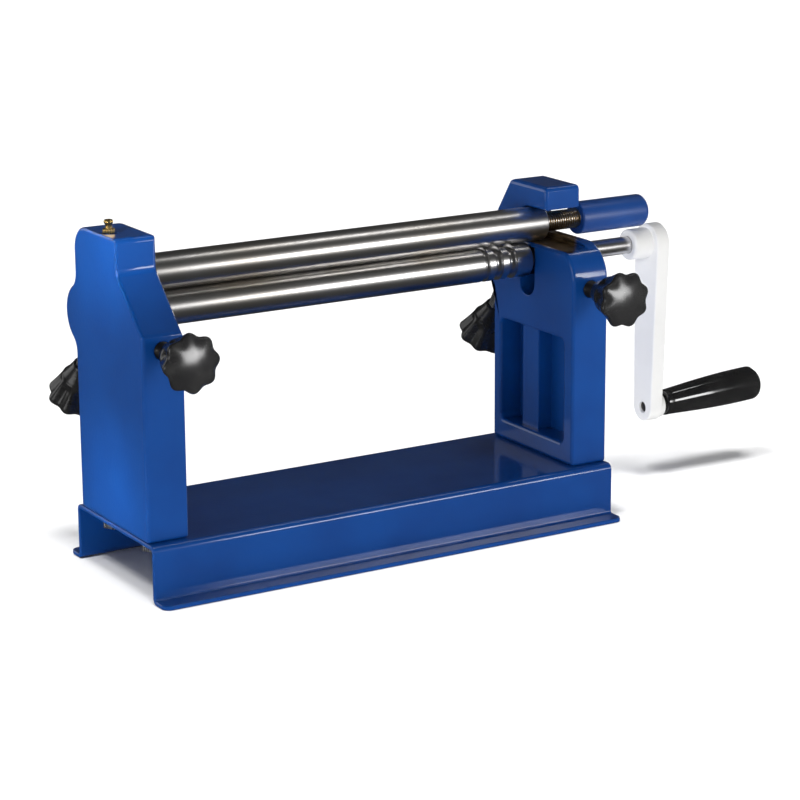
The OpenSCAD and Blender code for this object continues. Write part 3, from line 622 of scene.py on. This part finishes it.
grip_path = rounded(np.concatenate([collar, swell, outer_end]), 9)
crank_grip = turned_piece(
    "crank_grip_moulding", grip_path[:, 0], np.repeat(grip_path[:, 1:2], 112, axis=1), GRIP_PIVOT, GRIP_AXIS,
    (0, 1, 0), "grip", black_gloss, ["crank_grip"],
)
print(release_handle.name, crank_grip.name)

# %% [markdown]
# ## Grease nipple
# The nipple has a hexagon for the spanner, a slim neck and a bulb that the grease gun clips on. It could be
# put together from a prism and two turned pieces, but one grid has no seams. On it a hexagon is a radius
# that grows as 1 / cos of the angle from the middle of each flat. Each ring is written as its height, its
# radius and how far it is a hexagon.

# %% Grease nipple
low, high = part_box("grease_nipple")
HEAD_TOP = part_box("left_frame")[1].z
NIPPLE = ((low.x + high.x) / 2 / MM, (low.y + high.y) / 2 / MM, HEAD_TOP / MM)
hexagon = [(0.02, 0, 1), (0.02, 3.9, 1), (0.3, 4.0, 1), (2.5, 4.0, 1), (2.9, 3.75, 0.75), (3.0, 3.2, 0.2)]
slim_neck = [(3.05, 2.7, 0), (3.5, 2.3, 0), (5.0, 2.2, 0), (5.7, 2.35, 0)]
bulb = [(6.4, 2.9, 0), (7.0, 3.15, 0), (7.7, 3.2, 0), (8.4, 3.05, 0), (8.9, 2.6, 0), (9.0, 2.3, 0)]
mouth = [(8.98, 1.1, 0), (8.7, 0.8, 0), (8.6, 0, 0)]
rings = np.array(hexagon + slim_neck + bulb + mouth)
angle = np.arange(72) * 2 * np.pi / 72
flat = 1 / np.cos(np.mod(angle, np.pi / 3) - np.pi / 6) - 1
nipple_radius = rings[:, 1:2] * (1 + rings[:, 2:3] * flat[None, :])
grease_nipple = turned_piece(
    "grease_nipple_brass", rings[:, 0], nipple_radius, NIPPLE, (0, 0, 1), (1, 0, 0), "stand", brass,
    ["grease_nipple"], 30,
)
print(grease_nipple.name, "at", NIPPLE)

# %% [markdown]
# ## Castings with rounded edges
# The frames, the base and the crank keep their CAD shape. What the solids lack is the small radius on every
# edge, which is what makes painted iron look cast. The whole shape could be modelled again, but a copy
# can't drift away from the CAD size. The copy's mesh is merged, flat triangles are joined into whole faces,
# and a bevel rounds the edges by a weight: wide on the outline, narrow in slots and bores, widest round the
# heads.

# %% Softened copies of CAD nodes
SHARP_TURN = math.radians(35)
STRAIGHT_ON = -0.87
SLOT_WIDTH, OFF_WALL = 0.045, 0.0002


def merged_copy(node):
    """The node's triangles as a bmesh with shared points and whole flat faces."""
    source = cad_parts[node].data
    points = np.empty(len(source.vertices) * 3, np.float32)
    source.vertices.foreach_get("co", points)
    corners = np.empty(len(source.loops), np.int32)
    source.loops.foreach_get("vertex_index", corners)
    work = bmesh.new()
    work.from_mesh(mesh_of(node + "_raw", points, corners.reshape(-1, 3)))
    bmesh.ops.remove_doubles(work, verts=work.verts, dist=2e-6)
    bmesh.ops.dissolve_degenerate(work, edges=work.edges, dist=1e-6)
    bmesh.ops.dissolve_limit(
        work, angle_limit=math.radians(1.0), use_dissolve_boundaries=False, verts=work.verts, edges=work.edges
    )
    return work


def smooth_chains(edges):
    """Groups edges that run on into each other with a turn of less than about 30 degrees."""
    left, chains = set(edges), []
    while left:
        chain = [left.pop()]
        for edge in chain:
            for vert in edge.verts:
                along = (edge.other_vert(vert).co - vert.co).normalized()
                for near in vert.link_edges:
                    onward = (near.other_vert(vert).co - vert.co).normalized()
                    if near in left and onward.dot(along) < STRAIGHT_ON:
                        left.discard(near)
                        chain.append(near)
        chains.append(chain)
    return chains


def weigh_edges(work, outer, inner, special):
    """Gives each sharp outer edge its share of the bevel. An edge whose wall looks at another wall close by
    lies in a slot or bore and gets the inner share; special(middle, hollow) may give another share for a
    place, and only there does a hollow corner get a fillet. A smooth chain of edges takes the share of its
    greater length, because a jump along it would tear the bevel."""
    layer = work.edges.layers.float.new("bevel_weight_edge")
    tree = BVHTree.FromBMesh(work)
    shares = {}
    for edge in work.edges:
        turn = edge.calc_face_angle_signed(0.0) if len(edge.link_faces) == 2 else 0.0
        middle = (edge.verts[0].co + edge.verts[1].co) / 2
        share = special(middle, turn < 0) if special else None
        if abs(turn) < SHARP_TURN or (turn < 0 and share is None):
            continue
        walls = [f.normal for f in edge.link_faces]
        faces_wall = any(tree.ray_cast(middle + n * OFF_WALL, n, SLOT_WIDTH)[0] is not None for n in walls)
        shares[edge] = share if share is not None else (inner if faces_wall else outer)
    for chain in smooth_chains(shares):
        lengths = {}
        for edge in chain:
            lengths[shares[edge]] = lengths.get(shares[edge], 0.0) + edge.calc_length()
        for edge in chain:
            edge[layer] = max(lengths, key=lengths.get)
    return len(shares)


def softened(name, node, body, slot, material, width, outer=1.0, inner=1.0, special=None, segments=3):
    """A copy of a CAD node with rounded edges: bevel width in millimetres times each edge's share."""
    work = merged_copy(node)
    count = weigh_edges(work, outer, inner, special)
    mesh = bpy.data.meshes.new(name)
    work.to_mesh(mesh)
    work.free()
    mesh.polygons.foreach_set("use_smooth", np.ones(len(mesh.polygons), bool))
    mesh.set_sharp_from_angle(angle=math.radians(32))
    piece = add_piece(name, mesh, body, material, [node])
    bevel = piece.modifiers.new("rounded_edges", "BEVEL")
    bevel.width = width * MM
    bevel.segments = segments
    bevel.limit_method = "WEIGHT"
    bevel.use_clamp_overlap = False
    bevel.miter_outer = "MITER_ARC"
    normals = piece.modifiers.new("flat_faces", "WEIGHTED_NORMAL")
    normals.keep_sharp = True
    print(name, "rounds", count, "edges")
    return piece


base = softened("base_sheet", "base_channel", "stand", "blue_paint", blue_enamel, 0.7, segments=2)

# %% [markdown]
# ## Frames and crank
# The frames are heavy iron castings, so their edges are the roundest, most of all round the tops of the
# heads. On the notch's floor under the upper roll's stub, and on the top of its outer wall, the right frame's
# colour turns a dark metallic brown behind a slanting line. A mask in the finish does this, because a
# painted-on patch of mesh would leave a step. The crank is a smaller casting with narrow rims round its hub
# and boss.

# %% Frames and crank
CREASE_Y, CREASE_Z, NEAR = -0.0155, 0.216, 0.001
TOP_DEPTH, FACE_DEPTH = 0.0005, 0.0004
# Where the right frame's seat turns dark metallic brown: its x and z ranges, its back edge and a slanting
# front line.
SEAT_X, SEAT_Z, SEAT_BACK = (0.1566, 0.1845), (0.1955, 0.2015), 0.0215
SLANT_CORNER, SLANT_RATE = (0.184, -0.0128), 1.31


def head_share(middle, hollow):
    """The heads' top edges are rounder than the rest, and the crease between the left head and its slope
    has a fillet."""
    if hollow:
        return 0.8 if abs(middle.z - CREASE_Z) < NEAR and abs(middle.y - CREASE_Y) < NEAR else None
    return 1.0 if middle.z > HEAD_TOP - TOP_DEPTH else None


def arm_share(middle, hollow):
    """The hub and the grip's boss leave only narrow rims on the arm's two faces, so the edges there are
    rounded less."""
    if hollow:
        return None
    if abs(middle.x - ARM_X[0] * MM) < FACE_DEPTH:
        return 0.6
    return 0.35 if abs(middle.x - ARM_X[1] * MM) < FACE_DEPTH else None


def past(value, place, soft):
    """0 before a place and 1 past it, over a soft step."""
    return value.ramp(place - soft, place + soft)


def dark_seat_patch(x, y, z):
    """A dark brown metallic patch on the notch's floor and the top of its outer wall, behind a slanting line."""
    deep = past(z, SEAT_Z[0], 0.0002) * (1.0 - past(z, SEAT_Z[1], 0.0003))
    along = past(x, SEAT_X[0], 0.0004) * (1.0 - past(x, SEAT_X[1], 0.0003))
    past_slant = past(y - SLANT_CORNER[1] + SLANT_RATE * (SLANT_CORNER[0] - x), 0.0, 0.003)
    return deep * along * (1.0 - past(y, SEAT_BACK, 0.0005)) * past_slant


FRAME_EDGES = (3.4, 0.62, 0.2, head_share)
CRANK_EDGES = (1.8, 1.0, 0.3, arm_share)
# The right frame's enamel has the dark metallic brown patch at the notch's seat.
right_enamel = enamel("blue_enamel_dark_seat", brown_patch=dark_seat_patch)
softened("left_casting", "left_frame", "stand", "blue_paint", blue_enamel, *FRAME_EDGES)
softened("right_casting", "right_frame", "stand", "blue_paint", right_enamel, *FRAME_EDGES)
crank = softened("crank_casting", "crank_arm", "drive", "white_paint", white_enamel, *CRANK_EDGES)

# %% [markdown]
# ## Inner pieces
# Blocks, bushes, pins and fasteners show only at gaps and from below. They could stay as the CAD model has
# them, but machined pieces have small broken edges that catch some light even there. So the same softened
# copies serve, each with its own metal.

# %% Inner pieces
INNER = {
    "frame_bolts": ("stand", "zinc_steel", plated_steel, 0.5),
    "frame_washers": ("stand", "zinc_steel", plated_steel, 0.25),
    "socket_ring": ("stand", "dark_steel", dark_steel, 0.15),
    "ball_bush": ("release_ball", "bronze", bronze, 0.3),
    "lower_left_block": ("lower_blocks", "dark_steel", dark_steel, 0.5),
    "lower_right_block": ("lower_blocks", "dark_steel", dark_steel, 0.5),
    "lower_left_bush": ("lower_blocks", "bronze", bronze, 0.25),
    "lower_right_bush": ("lower_blocks", "bronze", bronze, 0.25),
    "rear_left_block": ("rear_blocks", "dark_steel", dark_steel, 0.5),
    "rear_right_block": ("rear_blocks", "dark_steel", dark_steel, 0.5),
    "rear_left_bush": ("rear_blocks", "bronze", bronze, 0.25),
    "rear_right_bush": ("rear_blocks", "bronze", bronze, 0.25),
    "front_left_wedge_pin": ("front_left_wedge", "dark_steel", dark_steel, 0.4),
    "front_right_wedge_pin": ("front_right_wedge", "dark_steel", dark_steel, 0.4),
    "crank_grub_screw": ("drive", "dark_steel", dark_steel, 0.3),
    "grip_spindle": ("drive", "zinc_steel", dark_steel, 0.4),
}
inner = {
    node: softened(node + "_machined", node, body, slot, material, width, segments=2)
    for node, (body, slot, material, width) in INNER.items()
}

# %% [markdown]
# ## Stage
# The machine stands on a plain pale sheet. A flat plane would do for one picture, but a low view would look
# past its edge, so far out the sheet curves up, as a studio's paper roll does.

# %% Floor
FLOOR_HALF, FLOOR_CELLS, FLOOR_DROP = 12.0, 24, 0.0003
CURVE_START, CURVE_RISE = 7.0, 0.24
line = np.linspace(-FLOOR_HALF, FLOOR_HALF, FLOOR_CELLS + 1)
gx, gy = np.meshgrid(line, line, indexing="ij")
far = np.clip(np.hypot(gx, gy) - CURVE_START, 0, None)
grid = np.stack([gx, gy, CURVE_RISE * far ** 2 - FLOOR_DROP], -1)
i, j = np.meshgrid(np.arange(FLOOR_CELLS), np.arange(FLOOR_CELLS), indexing="ij")
here = i * (FLOOR_CELLS + 1) + j
ahead = here + FLOOR_CELLS + 1
quads = np.stack([here, ahead, ahead + 1, here + 1], -1).reshape(-1, 4)
floor = bpy.data.objects.new("floor", mesh_of("floor", grid, quads))
floor.data.polygons.foreach_set("use_smooth", np.ones(len(quads), bool))
bpy.context.scene.collection.objects.link(floor)
floor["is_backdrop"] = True
floor.visible_glossy = False
paper = Finish("floor_paper")
paper_point, _ = paper.place()
paper_cloud = paper.noise(paper_point, 3.0, 2.0)
floor.data.materials.append(paper.set(
    Base_Color=paper.blend(paper_cloud, (0.96, 0.96, 0.96, 1.0), (0.98, 0.98, 0.98, 1.0)), Roughness=0.9,
    Specular_IOR_Level=0.0,
))
print("floor", len(quads), "faces")

# %% [markdown]
# ## Soft boxes
# Soft boxes light the machine and not the floor, as in a small studio: one from the left, one in front that
# the rolls mirror as their broad bright stripe, a thin strip overhead for the thin stripe on the rolls, one
# on the right that draws the edges, and a weak one behind. Two small ones with a honeycomb grid lift the
# left head and the foot of the left frame. The knobs have a box of their own for the spot on their domes.
# So has the white crank, because the box in front would burn it out. One light for everything would be
# simpler, but no single one suits both white paint and black plastic.

# %% Soft boxes


def soft_box(name, place, target, width, height, glow, fan=180):
    """An area light; glow is the brightness of its face, so its power is glow * pi * area. Fan is the angle
    of its beam in degrees, which a honeycomb grid makes narrow."""
    lamp = bpy.data.lights.new(name, "AREA")
    lamp.shape = "RECTANGLE"
    lamp.size, lamp.size_y = width, height
    lamp.energy = glow * math.pi * width * height
    lamp.spread = math.radians(fan)
    holder = bpy.data.objects.new(name, lamp)
    bpy.context.scene.collection.objects.link(holder)
    holder.location = place
    holder.rotation_euler = (Vector(target) - Vector(place)).to_track_quat("-Z", "Y").to_euler()
    holder.visible_camera = False
    return holder


boxes = [
    soft_box("left_box", (-1.9, -0.2, 0.3), (0, 0, 0.1), 1.0, 0.8, 2.7),
    soft_box("front_box", (0.85, -1.45, 0.38), (0, 0, 0.2), 0.52, 0.38, 13.0),
    soft_box("head_box", (-0.9, -0.35, 0.45), (-0.185, 0.0, 0.236), 0.06, 0.06, 2.7, 9),
    soft_box("foot_box", (-0.95, -0.3, 0.1), (-0.185, 0.0, 0.06), 0.06, 0.06, 2.0, 8),
    soft_box("overhead_strip", (0.55, -0.105, 1.15), (0.55, 0.0, 0.2), 0.6, 0.07, 8.5),
    soft_box("right_box", (1.5, 0.85, 0.3), (0, 0, 0.2), 0.4, 0.9, 5.0),
    soft_box("back_box", (-1.2, 1.6, 0.6), (0, 0, 0.15), 1.2, 1.0, 1.2),
]


def light_linked(lamp, pieces, state):
    """Lights only the pieces with the state INCLUDE, and all but the pieces with the state EXCLUDE."""
    linked = bpy.data.collections.new(lamp.name + "_pieces")
    for piece in pieces:
        linked.objects.link(piece)
    for entry in linked.collection_objects:
        entry.light_linking.link_state = state
    lamp.light_linking.receiver_collection = linked


for box in boxes:
    light_linked(box, (floor, crank) if box.name in ("left_box", "front_box") else (floor,), "EXCLUDE")
knob_box = soft_box("knob_box", (0.235, -1.53, 0.34), (-0.17, -0.1, 0.17), 0.8, 0.7, 15.0)
light_linked(knob_box, knobs, "INCLUDE")
crank_box = soft_box("crank_box", (-1.4, -0.85, 0.5), (0.26, 0.0, 0.15), 0.8, 0.8, 8.5)
light_linked(crank_box, (crank,), "INCLUDE")
crank_box.light_linking.blocker_collection = crank_box.light_linking.receiver_collection
print("soft boxes:", len(boxes) + 2)

# %% [markdown]
# ## Light on the floor
# Two wide suns are linked to the floor alone and keep it white with soft shadows. One comes from nearly
# overhead and draws the shadow round the base. The other comes from the left, and only the base, the bolts
# in its holes and the pieces at the crank's end cast its shadow, so that the crank gets a long one and the
# frames don't. With one sun for both, one of the two shadows would be wrong. The room itself is dim.

# %% Floor light


def floor_sun(name, share, spread, tilt, lean, casters=()):
    """A sun for the floor alone: its share of the floor's light, its width and its two tilts in degrees.
    With casters, only those pieces cast its shadow."""
    sun = bpy.data.lights.new(name, "SUN")
    sun.energy = share * math.pi
    sun.angle = math.radians(spread)
    holder = bpy.data.objects.new(name, sun)
    bpy.context.scene.collection.objects.link(holder)
    holder.rotation_euler = (math.radians(tilt), math.radians(lean), 0)
    light_linked(holder, (floor,), "INCLUDE")
    if casters:
        cast_by = bpy.data.collections.new(name + "_casters")
        for piece in casters:
            cast_by.objects.link(piece)
        holder.light_linking.blocker_collection = cast_by


floor_sun("floor_sky", 0.6, 18, 14, -4)
plugs = (inner["frame_bolts"], inner["frame_washers"])
floor_sun("floor_sun", 0.42, 14, 10, -24, (base, crank, crank_grip, lower_roll, release_handle) + plugs)
world = bpy.data.worlds.new("room")
world.use_nodes = True
room = world.node_tree.nodes["Background"].inputs
room["Color"].default_value = (1.0, 1.0, 1.0, 1.0)
room["Strength"].default_value = 0.04
bpy.context.scene.world = world
print("floor light and room ready")

# %% [markdown]
# ## Camera
# The camera stands where the photograph's camera stood: in front, to the left and a little above, with a
# long lens. Placed by eye it would always be a little off, so it was worked out from the straight edges of
# the base and the frames.

# %% Camera
lens = bpy.data.cameras.new("view")
lens.sensor_width = 36.0
lens.lens = 121.66
camera = bpy.data.objects.new("view", lens)
bpy.context.scene.collection.objects.link(camera)
camera.location = (-0.9231, -1.59217, 0.59192)
camera.rotation_euler = (math.radians(75.0513), math.radians(0.3181), math.radians(-31.2919))
bpy.context.scene.camera = camera
bpy.context.scene.view_settings.view_transform = "Standard"
print("camera at", tuple(round(v, 3) for v in camera.location))

# %% [markdown]
# ## Sizes
# The two boxes show whether the dressed machine stayed inside its CAD size. They could be compared by eye in
# a view, but printed as numbers they can be read again.

# %% Sizes and finish
bpy.context.view_layer.update()
visual_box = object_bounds()
boxes_m = {"cad": cad_box, "visual": visual_box}
boxes_m = {name: [[float(v) for v in corner] for corner in box] for name, box in boxes_m.items()}
print({name: np.round(box, 4).tolist() for name, box in boxes_m.items()})
